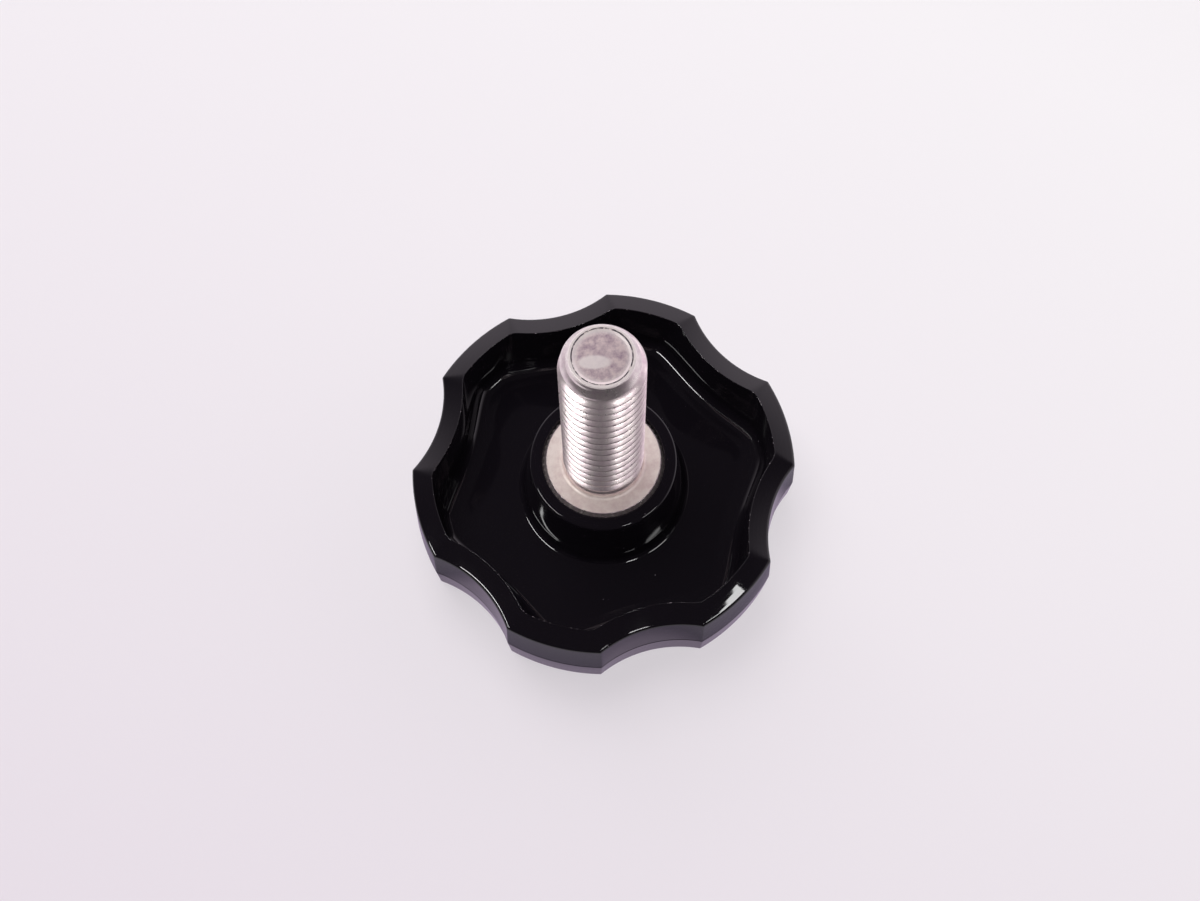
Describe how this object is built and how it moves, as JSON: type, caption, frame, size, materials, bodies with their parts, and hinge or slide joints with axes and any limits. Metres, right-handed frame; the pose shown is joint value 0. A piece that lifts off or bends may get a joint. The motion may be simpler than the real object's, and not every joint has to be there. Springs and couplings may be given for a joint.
{
  "type": "fluted hand knob with threaded stud",
  "caption": "Round black moulded hand knob with shallow finger flutes, a recessed back and a central hub that grips a steel cap screw as its threaded stud.",
  "frame": {"origin": "centre of the crown's flat face, on which the knob lies", "axes": "+Z along the stud, away from the knob; +X through the middle of one lobe"},
  "size_m": [0.038, 0.0368, 0.0367],
  "materials": {
    "black_moulding": "moulded, high gloss",
    "bright_steel": "bright, rolled thread and turned faces"
  },
  "bodies": {
    "root": {"knob_body": "black_moulding", "clamp_screw": "bright_steel"}
  },
  "joints": []
}
